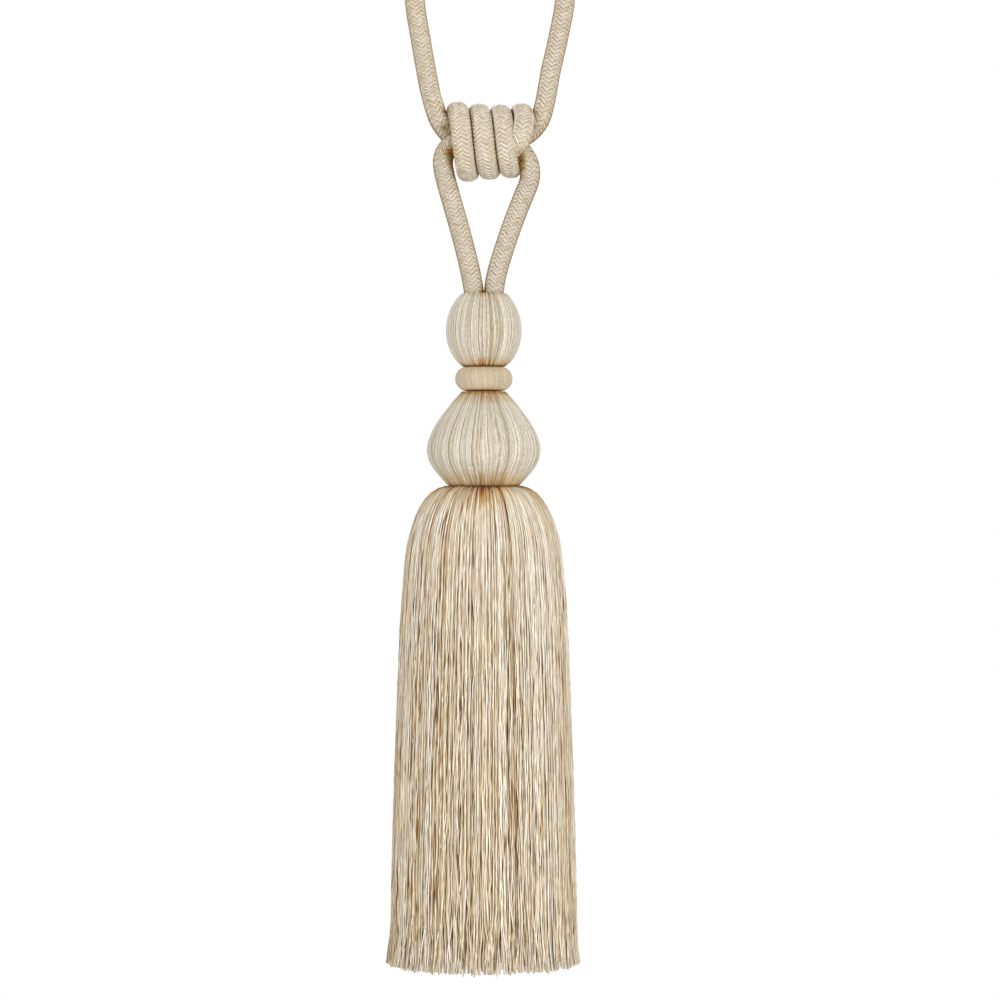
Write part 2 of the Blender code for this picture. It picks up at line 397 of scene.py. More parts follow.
# places where cords press together and painted brown shade darkens them: X, Z and reach in mm, and how
# strongly
pressedShade = [
    (-19.2, -117.5, 2.6, 1.9), (-18.0, -122.0, 2.2, 1.6), (-16.6, -127.5, 1.8, 1.1),
    (-15.4, -133.0, 1.5, 0.7), (15.0, -118.0, 2.0, 1.6), (15.6, -121.5, 1.7, 1.8),
    (16.0, -125.0, 1.5, 1.3), (15.6, -129.0, 1.2, 0.6), (-21.8, -96.5, 1.6, 1.5),
    (-22.6, -104.5, 1.6, 0.7), (21.2, -97.0, 1.5, 1.3), (20.8, -103.0, 1.5, 0.8),
    (-3.1, -185.6, 1.1, 3.0), (-3.1, -182.8, 0.9, 2.2),
]
# the winding's last end turns in between the third wrap and the right leg, and its first end does so behind
tuck = [(17.0, -10.9, -102.0), (16.6, -13.3, -105.2), (16.1, -14.1, -108.2), (15.1, -13.9, -111.0),
        (13.7, -12.7, -113.2), (11.9, -10.9, -114.7), (10.0, -9.0, -115.6)]
middleX = -0.85


# Points of the winding: a helix along X with its pitch and a radius that changes with the turn.
# Each end then follows the points of the tuck, given half a turn about the knot's middle for the first end.
def knotRoute():
    turn = np.linspace(knot["turns"][0], knot["turns"][-1], 41)
    radius = np.interp(turn, knot["turns"], knot["radii"]) * mm
    angle = 2 * math.pi * turn
    helix = np.stack([
        knot["firstTopX"] + knot["pitch"] * turn, -radius * np.sin(angle), knot["z"] + radius * np.cos(angle),
    ], 1)
    last = np.array(tuck) * mm
    first = last[::-1] * (-1, -1, 1) + (2 * middleX * mm, 0, 0)
    return evenSteps(smoothRoute(np.vstack([first, helix, last]), 0.5 * mm), 0.5 * mm)


# How much a point of the winding lies in a seam between two wraps, where painted shade goes. flat is how
# far it faces along the knot, 0 to 1, and a seam is where that is nearly 1. The last seam is wider at its
# top, where one wrap leans on another.
def inSeam(flat, points):
    x, z = points[..., 0] / mm, points[..., 2] / mm
    fromX, fromZ, wider = knot["topSeam"]
    top = smoothStep(x, *fromX) * smoothStep(z, *fromZ)
    between = smoothStep(x, *knot["firstSeam"]) * smoothStep(x, *knot["lastSeam"])
    return smoothStep(flat + wider * top, 0.93, 0.985) * between


# A braid on a line. A strand of either hand runs round the cord as it runs along it; it lies out where
# the sine of half the strands' number times its angle has its hand's sign, and in under the others elsewhere.
# Each strand carries its section, with its two yarns, one light and one darker, along that path.
# outward is the direction of the cord's front, and turned is how far round it the pattern stands at each
# point of the line. The corners stand out with the square of the sine of twice the angle.
def braidMesh(name, line, outward, size, turned, look):
    run = lengthsAlong(line)
    total = run[-1]
    heading = unit(np.gradient(line, axis=0))
    side = unit(outward - (outward * heading).sum(1, keepdims=True) * heading)
    other = np.cross(heading, side)
    strands = cord["carriers"]
    lay = look["lay"]
    reach = cord["diameter"] / 2 * size - cord["yarnHeight"] - cord["weave"]
    slope = math.atan2(2 * math.pi * reach, lay)
    rings = int(total / lay * cord["steps"] * (lay / cord["lay"]) ** 0.6) + 1
    width = cord["width"] * lay / strands * math.sin(slope)
    start = np.linspace(0, total, rings)[None, :, None]
    phase = np.interp(start, run, turned)
    first = 2 * math.pi * np.arange(strands)[:, None, None] / strands
    across = strandSection[None, None, :, 0] * width
    rise = strandSection[None, None, :, 1] * cord["yarnHeight"]
    points, colours, maps = [], [], []
    for hand in (1, -1):
        angle = hand * 2 * math.pi * start / lay + first
        if hand < 0:
            angle = angle + math.pi / strands
        over = np.clip(cord["flatten"] * np.sin(strands / 2 * angle), -1, 1) * hand
        full = angle + phase + across * math.cos(slope) / reach
        place = np.clip(start - hand * across * math.sin(slope), 0, total)
        corners = 1 + look["corners"] * np.sin(2 * full) ** 2
        radius = reach * corners + over * cord["weave"] + rise
        at = [np.interp(place, run, line[:, k]) for k in range(3)]
        sideAt = [np.interp(place, run, side[:, k]) for k in range(3)]
        otherAt = [np.interp(place, run, other[:, k]) for k in range(3)]
        xyz = np.stack([at[k] + radius * (np.cos(full) * sideAt[k] + np.sin(full) * otherAt[k])
                        for k in range(3)], -1)

        # a light and a darker yarn in each strand, both drifting in tone along the cord
        light, dark = rng.uniform(0.75, 1.0, strands), rng.uniform(0.25, 0.65, strands)
        drift = slowNoise(2 * strands, start[..., 0], cord["driftWaves"]).reshape(strands, 2, rings)
        value = np.clip(np.stack([light, dark], 1)[..., None] + cord["drift"] * drift, 0, 1)
        five = np.stack([value[:, 0], value[:, 0], value.mean(1), value[:, 1], value[:, 1]], -1)

        # painted shade between yarns and where a strand dips, and painted brown shade at the sides,
        # in the seams and where cords press
        under = strandShade[None, None] + cord["dipShade"] * smoothStep(-over, -0.4, 1)
        flat = np.abs(np.sin(full))
        brownShade = look["sides"] * (0.3 * smoothStep(flat, 0.75, 0.95) + smoothStep(flat, 0.95, 1.0))
        for x, z, far, much in pressedShade:
            gap = (xyz[..., 0] - x * mm)**2 + (xyz[..., 2] - z * mm)**2
            brownShade = brownShade + look["pressedShade"] * much * np.exp(-gap / (far * mm) ** 2)
        brownShade = brownShade + look["seamShade"] * inSeam(flat, xyz)
        tone = shaded(yarnColour("braid", five), under, grooveShadeTint["braid"])
        tone = look["light"] * shaded(tone, brownShade, brownShadeTint)

        alongYarn = np.broadcast_to(start / math.cos(slope), radius.shape) + first * 0.1
        acrossYarn = np.broadcast_to(across, radius.shape) + first * 0.01 * hand
        if hand > 0:
            xyz, tone = xyz[:, :, ::-1], tone[:, :, ::-1]
            alongYarn, acrossYarn = alongYarn[:, :, ::-1], acrossYarn[:, :, ::-1]
        points.append(xyz)
        colours.append(tone)
        maps.append(np.stack([alongYarn, acrossYarn], -1))
    points, colours, maps = (np.concatenate(parts) for parts in (points, colours, maps))
    quads, ends = strandFaces(len(points), rings, len(strandSection))
    return fillMesh(name, points, quads, ends, colours, maps)


# The inside of a cord, painted dark brown as the shade seen between its strands: a plain round tube
# under the strands.
def coreMesh(name, line, radius):
    heading = unit(np.gradient(line, axis=0))
    side = unit(np.cross(heading, (0.31, 0.87, 0.38)))  # a direction that no cord runs in
    other = np.cross(heading, side)
    angle = np.linspace(0, 2 * math.pi, cord["coreSides"], endpoint=False)[None, :, None]
    ring = line[:, None] + radius * (np.cos(angle) * side[:, None] - np.sin(angle) * other[:, None])
    quads, ends = strandFaces(1, len(line), cord["coreSides"])
    tone = np.broadcast_to(np.array(coreShadeBrown), ring.shape)
    return fillMesh(name, ring, quads, ends, tone, np.zeros(ring.shape[:2] + (2,)))


# One mesh of several, joined by way of objects that are then removed.
def joinMeshes(name, meshes):
    objects = []
    for mesh in meshes:
        made = bpy.data.objects.new(name, mesh)
        bpy.context.scene.collection.objects.link(made)
        objects.append(made)
    with bpy.context.temp_override(active_object=objects[0], selected_editable_objects=objects):
        bpy.ops.object.join()
    mesh = objects[0].data
    bpy.data.objects.remove(objects[0])
    mesh.name = name
    return mesh


# A cord: its braid, and its inside under that.
def addCord(name, line, outward, size, turned, look, nodes):
    braid = braidMesh(name, line, outward, size, turned, look)
    inside = cord["diameter"] / 2 * size - cord["coreDepth"] * cord["yarnHeight"]
    core = coreMesh(name + " core", evenSteps(line, 2.5 * mm), inside)
    return addPiece(name, joinMeshes(name, [braid, core]), braidPaint, nodes)


# The herringbone faces front with its points down on both sides of a loop, so it turns by one rib at the top.
def ribTurn(line, low, high):
    share = lengthsAlong(line) / lengthsAlong(line)[-1]
    return 2 * math.pi / cord["carriers"] * smoothStep(share, low, high)


# The way to the front, at each point of a line.
def facing(line):
    return np.tile(np.array([0.0, -1.0, 0.0]), (len(line), 1))


embraceLine = smoothRoute(np.array(embraceRoute) * mm, 0.5 * mm)
embraceTurn = ribTurn(embraceLine, 0.4, 0.6)
embrace = addCord("embrace_braid", embraceLine, facing(embraceLine), 1.0, embraceTurn, looseCord,
                  ["embrace_cord"])
evenSteps(embraceLine, 3 * mm)
tasselLine = smoothRoute(np.array(tasselRoute) * mm, 0.5 * mm)
tasselTurn = ribTurn(tasselLine, 0.45, 0.55)
hanging = addCord("tassel_braid", tasselLine, facing(tasselLine), 1.0, tasselTurn, legCord,
                  ["tassel_cord"])
evenSteps(tasselLine, 3 * mm)
knotLine = knotRoute()
knotOut = (knotLine - np.array([0.0, 0.0, knot["z"]])) * (0, 1, 1)
knotTurn = ribTurn(knotLine, 0.0, 1.0)
addCord("knot_braid", knotLine, knotOut, knot["size"], knotTurn, woundCord, ["knot_wrap"])
print("cords braided")


# head: yarn laid lengthwise over the ball and the pear, thread wound round the ring

axisX = -3.1 * mm  # of the head and the skirt
ballShape = {
    "z": -205.5 * mm,  # of the middle
    "radius": 18.75 * mm,
    "up": 22.9 * mm, "down": 21.5 * mm,  # half heights of the ellipses above and below the middle
    "top": 18.35 * mm, "base": -17.75 * mm,
    "recess": 10.3 * mm, "recessDepth": 6.0 * mm,
}
ringShape = {"middleZ": -229.45 * mm, "centre": 8.35 * mm, "section": 5.95 * mm, "end": 84, "rows": 28}
pearShape = {"topZ": -235.85 * mm, "height": 47.5 * mm}
pearPoints = [  # drop below the top and radius, in mm
    (0.0, 11.0), (5.5, 15.7), (11.5, 20.4), (17.5, 24.4), (23.5, 27.1), (29.0, 28.2),
    (34.5, 27.2), (39.5, 24.1), (43.5, 20.6), (46.3, 18.2), (47.8, 16.4),
]

# Yarns over a form: how many and in how many rows, how high and uneven they are, how far light ones stand
# out over dark ones, how many slits part them and how deep, the mean runs of light and of dark yarns, their
# sway in radians, how far from both ends painted warm shade reaches, how golden the lower end is and how
# much painted light lifts it, the colours, how nearly they are one even thread, and how far they lean on
# the way down, in radians.
ballYarn = {
    "yarns": 168, "rows": 44, "height": 0.26 * mm, "uneven": 0.05 * mm, "grouped": 0.16 * mm,
    "slits": 16, "slitDepth": 0.35 * mm, "runs": (1.9, 1.2), "sway": 0.008,
    "warmShadeReach": 0.14, "goldenLowLight": 0.3, "family": "head", "even": 0.0, "lean": 0.0,
}
pearYarn = dict(ballYarn, yarns=252, rows=54, grouped=0.18 * mm, slits=26, runs=(1.9, 1.3), sway=0.012,
                warmShadeReach=0.18, goldenLowLight=1.0)
ringThread = dict(ballYarn, yarns=200, height=0.15 * mm, uneven=0.03 * mm, grouped=0.0, slits=1,
                  slitDepth=0.05 * mm, runs=(1.0, 1.0), sway=0.0, warmShadeReach=0.12, goldenLowLight=0.0,
                  family="ring", even=0.65, lean=0.12)
clothing = {
    "widths": (0.7, 1.3),  # of yarns against each other
    "sunk": 0.6,  # of its height, how much of a yarn lies within the form
    "flatEnds": (14, 0.3),  # how fast yarns rise from both ends on, and least
    "waves": (5, 7, 1.7),  # of the sway: round the form, on the way down, and apart
    "stray": 0.18,  # of single yarns' tones from their run's
    "evenTone": 0.36,  # of an even thread
    "drift": 0.14, "driftWaves": [0.007, 0.02, 0.05],  # of a yarn's tone on its way down
    "mottle": 0.16,  # of tone over the width of a yarn
    "groove": (0.3, 3.0),  # shade between yarns, least and at most how much more
    "slit": 1.6,
    # the gold near an end is in part painted shade
    "own": 3.4,  # most gold on a single yarn near an end
    # painted shade rims where the form meets the next part
    "rim": 0.045,  # reach of the rims at both ends
    "endPaintedLight": (0.45, 0.22, -0.10),  # red, green and blue that an even thread gains at its ends
    "lowPaintedLight": (0.28, 0.18, -0.02),  # and that other yarns gain near the lower end
}


# Slits where yarns part: at the edges of a few yarns chosen at random, each for a short way down. It is
# one at its middle and fades as e to the power of less the fourth power of the distance over its span.
def slitsBetween(share, count, slits):
    chosen = rng.choice(count, slits, replace=False)
    middles = rng.uniform(0.12, 0.88, slits)
    spans = rng.uniform(0.04, 0.16, slits)
    slit = np.zeros((len(share), count * 4))
    for at, middle, span in zip(chosen, middles, spans):
        slit[:, at * 4] += np.exp(-((share[:, 0] - middle) / span)**4)
    return slit


# Colours [row, point] of the yarns on a form: each yarn's tone with its drift and mottle, shaded in the
# grooves and slits. Near both ends single yarns are golden, in part as painted shade, most in front, behind
# and at both sides, the grooves get painted brown shade, and a painted shade rim darkens both ends where the
# form meets the next part. An even thread is painted lighter on the lower half and at its ends, and other
# yarns lighter and more golden at the lower end, as painted light that lifts their shade.
def clothColour(form, share, which, across, angle, tone, slit):
    count, even = form["yarns"], form["even"]
    drift = np.repeat(slowNoise(count, share[:, 0] * 0.05, clothing["driftWaves"]).T, 4, 1)
    value = tone[which][None] + (1 - even) * clothing["drift"] * drift
    value = value + rng.normal(0, clothing["mottle"], count * 4)[None]
    least, more = clothing["groove"]
    deep = (least + more * rng.random(count) ** 3)[which]
    groove = np.where(across == -1, deep, np.where(across == 0, 0.0, 0.1))[None]
    # golden single yarns near the ends, in part painted shade
    own = (clothing["own"] * rng.random(count) ** 1.8)[which][None]
    own = own * (1 - even) * (0.35 + 0.8 * np.cos(2 * angle) ** 2) + 0.3 * even

    low = smoothStep(share, 0.5, 0.6)  # 1 on the lower half
    fromEnd = np.minimum(share, 1 - share)
    # how near an end, for the painted warm shade there, and the painted shade rim where parts meet
    near = np.clip(1 - fromEnd / (form["warmShadeReach"] * (1 + 0.2 * low)), 0, 1) ** 1.2
    rim = np.clip(1 - fromEnd / clothing["rim"], 0, 1)
    ends = smoothStep(share, 0.62, 1.0) + 0.7 * smoothStep(share, 0.28, 0.0)
    # painted light: an even thread's ends and the lower end of other yarns are lifted out of their shade
    goldenLight = 1 + even * ends[..., None] * np.array(clothing["endPaintedLight"])
    goldenLight = goldenLight * (1 + form["goldenLowLight"] * (near * low)[..., None] * np.array(clothing["lowPaintedLight"]))
    # painted light on the lower half of an even thread, and painted shade near the upper end of other yarns
    lighter = 0.45 * even * smoothStep(share, 0.5, 1) - 0.2 * near * (1 - low)

    colour = yarnColour(form["family"], np.clip(value + lighter, 0, 1))
    colour = shaded(colour, groove * (1 - 0.5 * even) + clothing["slit"] * slit, grooveShadeTint["head"])
    colour = goldenLight * shaded(colour, 0.8 * near * own + (0.9 - 1.2 * even) * rim, goldAndShadeTint)
    return shaded(colour, 0.8 * near * groove + (0.3 - 0.3 * even) * rim, brownShadeTint)


# A turned outline of radius and height [row], clothed in yarns of uneven widths. Each yarn rises from it as a
# half round, the square root of one less the square of the way across, and sinks at the slits. The yarns sway
# by three sines of the angle and the way down.
def yarnLathe(name, radius, height, form):
    count, rows, even = form["yarns"], len(radius), form["even"]
    share = np.linspace(0, 1, rows)[:, None]
    which = np.repeat(np.arange(count), 4)
    across = np.tile([-1.0, -0.5, 0.0, 0.5], count)
    wide = rng.uniform(*clothing["widths"], count)
    starts = np.cumsum(wide) - wide
    angle = 2 * math.pi * (starts[which] + (across + 1) / 2 * wide[which]) / wide.sum()
    tone = groupedTones(count, *form["runs"], clothing["stray"])
    tone = tone * (1 - even) + clothing["evenTone"] * even
    rise = form["height"] * (np.sqrt(np.clip(1 - across**2, 0, 1)) - clothing["sunk"])
    level = rng.normal(0, form["uneven"], count) + form["grouped"] * (tone - 0.5)
    slit = slitsBetween(share, count, form["slits"])
    fast, least = clothing["flatEnds"]
    fade = np.clip(np.minimum(share, 1 - share) * fast, least, 1)
    out = (rise + level[which])[None] * fade - form["slitDepth"] * np.clip(slit, 0, 1) * fade
    turns, down, apart = clothing["waves"]
    sway = sum(form["sway"] / k * np.sin(k * turns * angle[None] + down * share * k + k * apart)
               for k in (1, 2, 3))
    angle = angle[None] + sway * np.sin(math.pi * share) + form["lean"] * share
    drop, grow = np.gradient(height), np.gradient(radius)
    flat = np.hypot(drop, grow)
    reach = radius[:, None] + out * (-drop / flat)[:, None]
    lift = height[:, None] + out * (grow / flat)[:, None]
    points = np.stack([axisX + reach * np.sin(angle), -reach * np.cos(angle), lift], -1)
    colour = clothColour(form, share, which, across, angle, tone, slit)
    run = lengthsAlong(np.stack([radius, height], 1))
    along = np.stack([np.broadcast_to(run[:, None], reach.shape) + which[None] * 0.37,
                      np.broadcast_to(angle * radius.max(), reach.shape)], -1)
    return closeEnds(fillMesh(name, points, latheFaces(rows, count * 4), None, colour, along))


# The ball: from the floor of its recess up and over the rim, then down along two ellipses.
def ballOutline(shape, rows):
    top = math.asin(shape["top"] / shape["up"])
    base = math.asin(shape["base"] / shape["down"])
    angle = np.linspace(top, base, rows)
    reach = np.where(angle > 0, shape["up"], shape["down"])
    rim = shape["z"] + shape["top"]
    radius = [shape["recess"], shape["recess"], shape["recess"] + 0.3 * mm]
    height = [rim - shape["recessDepth"], rim - 0.5 * mm, rim + 0.2 * mm]
    return (np.concatenate([radius, shape["radius"] * np.cos(angle)]),
            np.concatenate([height, shape["z"] + reach * np.sin(angle)]))


# The pear: one smooth line through its points.
def pearOutline(shape, rows):
    line = smoothRoute(np.array(pearPoints) * mm, shape["height"] / rows)
    return line[:, 1], shape["topZ"] - line[:, 0]


# The ring: a round section turned about the axis, its thread going over it from top to bottom.
def ringOutline(shape):
    turn = np.linspace(math.radians(shape["end"]), math.radians(-shape["end"]), shape["rows"])
    across, up = shape["section"] * np.cos(turn), shape["section"] * np.sin(turn)
    return shape["centre"] + across, shape["middleZ"] + up


clothed = [
    ("ball_yarn", ballOutline(ballShape, ballYarn["rows"]), ballYarn, headPaint, "head_yarn", "head_ball"),
    ("pear_yarn", pearOutline(pearShape, pearYarn["rows"]), pearYarn, headPaint, "head_yarn", "pear_mould"),
    ("ring_thread", ringOutline(ringShape), ringThread, threadPaint, "ring_thread", "wrapped_ring"),
]
for name, (radius, height), form, paint, slot, node in clothed:
    addPiece(name, yarnLathe(name, radius, height, form), paint, [node])
print("head clothed")


# skirt of yarns

skirt = {
    "topZ": -283.65 * mm,
    "drop": 235.6 * mm,
    "layers": [  # from outside in: yarns, rings, depth under the outline in mm, shade
        (340, 41, 0.40, 0.0),
        (340, 39, 1.05, 0.35),
        (260, 26, 1.8, 1.0),
        (230, 22, 2.7, 1.8),
    ],
    "width": 0.82 * mm,
    "uneven": 0.55 * mm,  # in length
    "sides": 1.0 * mm,  # how much longer at the left and right
    "crowded": 1.25,  # power that brings rings closer together at the top
    "frizz": 1.5 * mm,  # how far ends wander to the side
    "splay": 2.0 * mm,  # and out
    "jitter": 0.15,  # of a yarn's place at the top, in yarns
    "clumps": [(13, 0.006), (29, 0.003), (47, 0.0015), (83, 0.001), (131, 0.001)],  # waves round, radians
    "tufts": [(61, 0.009), (97, 0.008)],  # the same at the hem
    "lift": 0.18 * mm, "liftWaves": [0.015, 0.032, 0.08],  # slow change in and out, with its wavelengths
    "wander": 0.25 * mm, "wanderWaves": [0.014, 0.026, 0.06],  # the same to the side
    "strays": 0.07, "stray": 1.6 * mm, "strayWaves": [0.15, 0.3],  # share of yarns that cross others
    "sunkWaves": [0.02, 0.033, 0.06],  # where yarns sink in between their neighbours
}
skirtPoints = [  # drop below the top and radius, in mm
    (-0.5, 13.0), (-0.75, 16.2), (-0.45, 19.6), (0.7, 23.2), (3.1, 26.9),
    (7.0, 30.3), (12.5, 33.5), (20.0, 36.4), (30.0, 38.8), (45.0, 40.4),
    (70.0, 42.1), (105.0, 43.5), (150.0, 45.1), (200.0, 46.4), (246.0, 47.4),
]
skirtShade = {
    "runs": (1.2, 1.05),  # mean runs of light and of dark yarns
    "drift": 0.14, "driftWaves": [0.03, 0.07, 0.15],  # of a yarn's tone on its way down
    # painted light: the right side is lighter as if lit from there
    "side": 0.06,  # how much lighter the right side is
    "fall": 0.08,  # and how much darker the skirt is lower down
    "bands": (0.24, 37, 11),  # bands of tone at the top, and their waves round
    "twin": 0.45, "twinWaves": [0.04, 0.10],  # of tone between a yarn's two halves
    "twinSides": (1.0, -1.0, -0.6, 0.0, 0.6),  # how far each of its five sides takes part
    "tips": 0.36,  # how much lighter the ends are
    # the brown at the top is painted shade where the yarns gather under the pear
    "neck": 0.10,  # reach of the golden and brown top
    "groove": (0.0, 0.0, 1.8, 2.8, 1.8),  # shade of a yarn's five sides
    "dim": 2.0, "dimWaves": [0.014, 0.03, 0.08],  # most shade on a whole dark yarn
    "patch": 1.3, "patchWaves": [0.006, 0.014, 0.03],  # shade in patches on the layers further in
    # the gold at the top is in part painted shade
    "own": 6.5, "ownMost": 3.2,  # gold on single yarns at the top
    # painted brown shade where a yarn sinks in between its neighbours, which happens most on the left
    "sunk": 3.5,
    "hemTint": (1.0, 0.975, 0.93),  # what multiplies the colour at the hem
}


# Shifts each yarn round the skirt: sines of its angle gather yarns into clumps lower down, and at the hem
# into tufts.
def clumped(angle, share, layer):
    total = 0
    for k, (count, size) in enumerate(skirt["clumps"]):
        turn = 1.3 * k + 0.9 * layer * (k > 1)
        total = total + size * np.sin(count * angle + turn + 2.2 * np.sin(2.0 * share + k))
    tufts = sum(size * np.sin(count * angle + (k + 1) * layer)
                for k, (count, size) in enumerate(skirt["tufts"]))
    return angle + total * smoothStep(share, 0.02, 0.55) + tufts * smoothStep(share, 0.88, 1.0)


# Colours [yarn, ring, side] of a layer. Light and dark yarns come in runs and drift slowly on their way
# down, and each is two-toned as a twist is. The right side is painted lighter, as light from there. The
# sides that face other yarns are shaded, more on light yarns, and some dark yarns are dimmed all round in
# places. At the top single yarns are golden, in part as painted shade, most in front, behind and at both
# sides, the grooves get painted brown shade, yarns that sink in get painted brown shade, and a painted
# shade line shows where the skirt begins.
def layerColour(layer, first, place, share, angle, sunk):
    count, darker = skirt["layers"][layer][0], skirt["layers"][layer][3]
    look = skirtShade
    tone = groupedTones(count, *look["runs"])[:, None]
    light = smoothStep(tone, 0.3, 0.8)[..., None]
    # the right side painted lighter, as light from that side
    tone = tone + look["drift"] * slowNoise(count, place, look["driftWaves"]) + look["side"] * np.sin(first)
    much, fine, broad = look["bands"]
    bands = much * np.sin(fine * angle + 2 * np.sin(broad * angle)) * (1 - smoothStep(share, 0.05, 0.30))
    tone = np.clip(np.clip(tone, 0, 1) + bands, 0, 1)
    twin = look["twin"] * slowNoise(count, place, look["twinWaves"])[..., None] * np.array(look["twinSides"])
    # painted shade near the top, under the pear
    near = np.clip(1 - share / look["neck"], 0, 1) ** 1.1
    tone = tone - 0.2 * near - look["fall"] * share + look["tips"] * smoothStep(share, 0.93, 1.0)
    colour = yarnColour("skirt", np.clip(tone[..., None] + twin, 0, 1))

    strength = 0.5 + light * (1.4 + 3.6 * rng.random((count, 1, 1)) ** 1.5)
    groove = np.array(look["groove"]) * strength
    dim = look["dim"] * (1 - light) * rng.random((count, 1, 1)) ** 2
    dim = dim * smoothStep(slowNoise(count, place, look["dimWaves"]), -0.7, 0.9)[..., None]
    centre = np.cos(2 * angle[..., None]) ** 4  # 1 in front, behind and at both sides
    own = np.minimum(look["own"] * rng.random((count, 1, 1)) ** 2.4, look["ownMost"]) * (0.15 + centre)
    patch = 0.5 + 0.5 * np.clip(slowNoise(count, place, look["patchWaves"]), -1, 1)[..., None]
    # painted shade: a dark line where the skirt begins, darkest in front, behind and at both sides
    topShadeLine = smoothStep(share, 0.041, 0.029)[..., None] * (1.6 + 5.5 * centre)
    tipLight = 1 - 0.7 * smoothStep(share, 0.90, 1.0)[..., None]
    near = near[..., None]

    colour = shaded(colour, (groove + dim + look["patch"] * darker * patch) * tipLight, grooveShadeTint["skirt"])
    colour = shaded(colour, near * own, goldAndShadeTint)
    brownShade = near * (0.25 * own + 0.6 * groove) + look["sunk"] * sunk[..., None] * (layer < 1) + topShadeLine
    return shaded(colour, brownShade, brownShadeTint) * np.array(look["hemTint"]) ** share[..., None, None]


# A layer of yarns: each is a five-sided tube down the outline at the layer's depth, moved in, out and round
# by slow waves, with a few that cross others, some short ways that sink in, and ends that splay.
def yarnLayer(outline, layer):
    count, rings, under = skirt["layers"][layer][:3]
    run = lengthsAlong(outline)
    whole = np.interp(skirt["drop"], outline[:, 0], run)
    jitter = rng.normal(0, skirt["jitter"], (count, 1))
    first = 2 * math.pi * (np.arange(count)[:, None] + 0.5 * (layer % 2) + jitter) / count
    longer = np.clip(rng.normal(0, skirt["uneven"], (count, 1)), -4 * mm, 2 * mm)
    longer = longer + skirt["sides"] * np.sin(first) ** 2

    # the outline's radius and drop at each ring, and its outward direction there
    place = np.linspace(0, 1, rings)[None] ** skirt["crowded"] * (whole + longer)
    radius = np.interp(place, run, outline[:, 1])
    drop = np.interp(place, run, outline[:, 0])
    ahead = 1.0 * mm
    slopeR = np.interp(place + ahead, run, outline[:, 1]) - np.interp(place - ahead, run, outline[:, 1])
    slopeD = np.interp(place + ahead, run, outline[:, 0]) - np.interp(place - ahead, run, outline[:, 0])
    size = np.hypot(slopeR, slopeD)
    outR, outD = slopeD / size, -slopeR / size

    # how deep each yarn lies, and where round the skirt
    share = place / whole
    tip = smoothStep(share, 0.84, 1.0) ** 1.7
    flare = np.clip((share - 0.93) / 0.07, 0, 1.1) ** 1.6
    depth = under * mm * smoothStep(share, -0.02, 0.10) + 0.1 * mm
    depth = depth + np.clip(1 - share / 0.15, 0, 1) * rng.uniform(-0.2, 0.5, (count, 1)) * mm
    depth = depth - skirt["lift"] * slowNoise(count, place, skirt["liftWaves"]) * smoothStep(share, 0.03, 0.3)
    angle = clumped(first, share, layer)
    wander = skirt["wander"] * slowNoise(count, place, skirt["wanderWaves"]) * smoothStep(share, 0.05, 0.4)
    wander = wander * (1 + 0.7 * share**2)
    crossing = np.where(rng.random((count, 1)) < skirt["strays"], skirt["stray"], 0)
    stray = crossing * slowNoise(count, place, skirt["strayWaves"])
    frizz = tip * rng.normal(0, skirt["frizz"], (count, 1))
    angle = angle + (wander + stray * smoothStep(share, 0.15, 0.6) + frizz) / np.maximum(radius, 10 * mm)
    splay = skirt["splay"] * (1 - 0.45 * np.clip(np.sin(first), 0, 1)) * rng.uniform(-0.1, 1.0, (count, 1))
    middleR = radius - depth * outR + flare * splay
    middleD = drop - depth * outD

    # how far it is sunk, most on the left and lower down, and its width, which its share of the round limits
    limit = 1.60 - 0.35 * share - 0.45 * smoothStep(-np.sin(first), 0.6, 0.95)
    sunk = smoothStep(slowNoise(count, place, skirt["sunkWaves"]) - limit, 0, 0.15)
    sunk = sunk * smoothStep(share, 0.03, 0.10)
    wide = skirt["width"] * np.exp(rng.normal(0, 0.16, (count, 1))) / 2 * (1 - 0.3 * tip) * (1 - 0.6 * sunk)
    wide = np.minimum(wide, 1.6 * math.pi * radius / count)
    thick = np.minimum(wide * 1.1, 0.55 * mm)

    # the five sides of its tube
    corner = np.radians([-32, 32, 100, 180, 260])
    across = np.sin(corner) * wide[..., None] * 1.06
    rise = np.cos(corner) * thick[..., None]
    reach = middleR[..., None] + rise * outR[..., None]
    lower = middleD[..., None] + rise * outD[..., None]
    sine, cosine = np.sin(angle)[..., None], np.cos(angle)[..., None]
    points = np.stack([
        axisX + reach * sine + across * cosine,
        -reach * cosine + across * sine,
        skirt["topZ"] - lower,
    ], -1)
    colour = layerColour(layer, first, place, share, angle, sunk)
    along = np.stack([np.broadcast_to(place[..., None] + first[..., None] * 3, across.shape),
                      across + first[..., None]], -1)
    return points[:, :, ::-1], colour[:, :, ::-1], along[:, :, ::-1]


hem = {
    "ends": 620,
    "reach": 42.5 * mm,
    "turn": 2.39996,  # golden angle from one end to the next, in radians
    "drops": (212.0, 225.0, 234.6),  # of an end's three rings below the skirt's top, in mm
    "radii": (0.6, 0.6, 0.45),  # of the three rings, in mm
    "shades": (0.3, 0.5, 1.0),  # darker further in
    "scatter": 0.1,  # in radians
    "uneven": 0.9 * mm, "unevenRings": [0, 0.5, 1],  # in length, and how far each ring takes part
    "lean": 0.8 * mm, "leanRings": [0, 0.3, 1],
    "runs": (1.5, 1.2),
}


